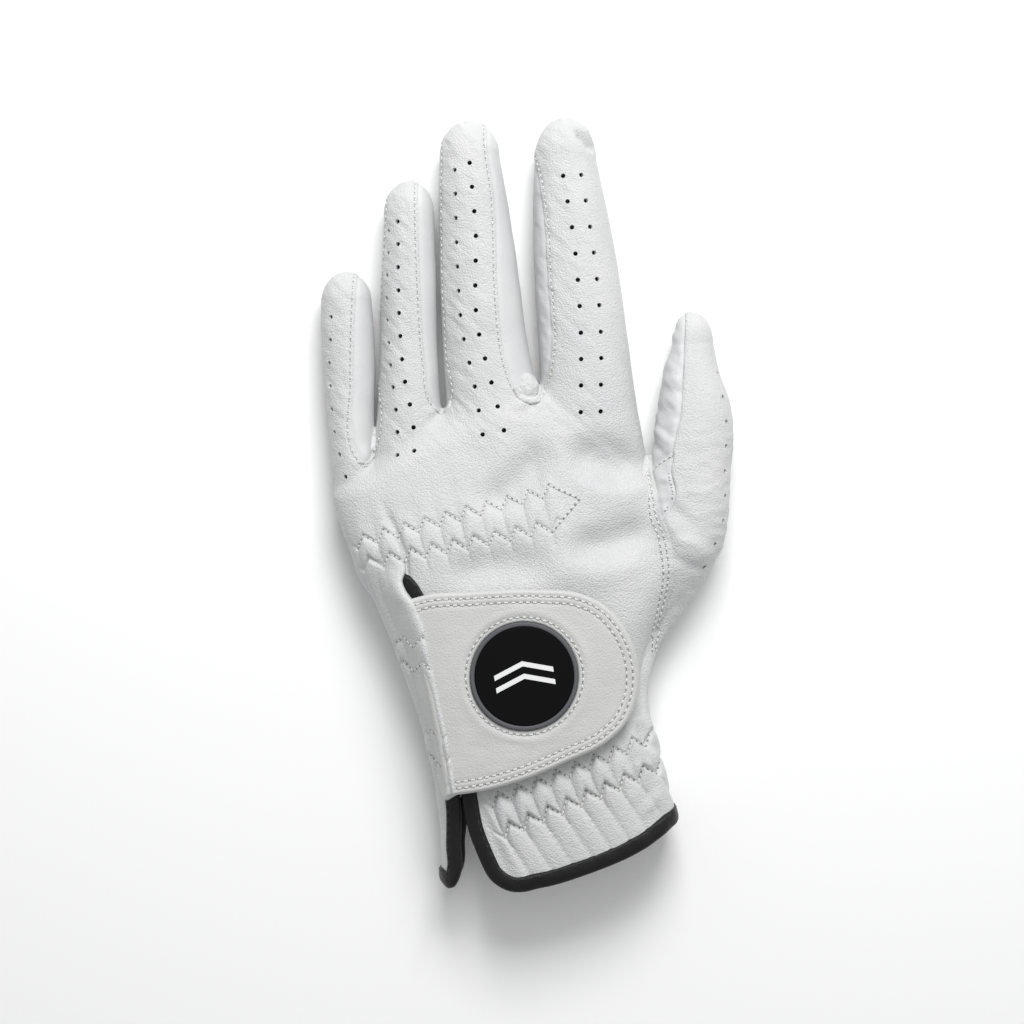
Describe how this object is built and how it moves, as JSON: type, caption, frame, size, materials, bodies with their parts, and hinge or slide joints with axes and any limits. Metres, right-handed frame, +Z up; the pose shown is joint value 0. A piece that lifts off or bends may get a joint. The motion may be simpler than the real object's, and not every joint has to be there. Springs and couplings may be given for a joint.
{
  "type": "golf glove",
  "caption": "Left-hand leather golf glove with finger gussets, elastic gathers, a slit cuff with a round-ended closure tab, and a lift-out disc marker.",
  "frame": {"origin": "centre of the bounding box on the plane that the glove lies on, palm down", "axes": "+Y from the cuff to the fingertips, +X towards the thumb side, +Z up out of the back of the hand"},
  "size_m": [0.107, 0.2008, 0.0295],
  "materials": {
    "white_leather": "matt fine-grained white sheepskin",
    "gusset_leather": "matt white sheepskin, smoother than the back",
    "tab_leather": "matt white synthetic leather, slightly warmer than the glove",
    "elastic_band": "woven white elastic",
    "black_binding": "black folded knit tape with a slight sheen",
    "loop_tape": "black brushed loop tape",
    "hook_tape": "black moulded hook tape",
    "tab_foam": "thin closed-cell foam sheet",
    "tab_lining": "white backing cloth",
    "grey_rubber": "matt dark grey moulded rubber",
    "steel": "plain plated steel",
    "black_enamel": "satin black",
    "white_print": "raised white print"
  },
  "bodies": {
    "glove": {"back_panel": "white_leather", "palm_panel": "white_leather", "fourchette_little_ring": "gusset_leather", "fourchette_ring_middle": "gusset_leather", "fourchette_middle_index": "gusset_leather", "thumb_back": "white_leather", "thumb_front": "gusset_leather", "thumb_quirk": "gusset_leather", "flap_hem": "white_leather", "knuckle_elastic": "elastic_band", "wrist_elastic_back": "elastic_band", "wrist_elastic_palm": "elastic_band", "heel_elastic_palm": "elastic_band", "cuff_binding": "black_binding", "slit_binding": "black_binding", "loop_pad": "loop_tape"},
    "tab": {"tab_leather": "tab_leather", "tab_core": "tab_foam", "tab_lining": "tab_lining", "hook_pad": "hook_tape", "marker_seat": "grey_rubber", "seat_magnet": "steel"},
    "marker": {"marker_base": "steel", "marker_face": "black_enamel", "marker_emblem": "white_print"}
  },
  "joints": [
    {"name": "tab_peel", "type": "hinge", "parent": "glove", "child": "tab", "pos_m": [-0.0235, -0.0489, 0.02745], "axis": [0.1946, -0.9809, 0], "range_deg": [0, 150]},
    {"name": "marker_lift", "type": "slide", "parent": "tab", "child": "marker", "axis": [0, 0, 1], "range_m": [0, 0.02]}
  ]
}
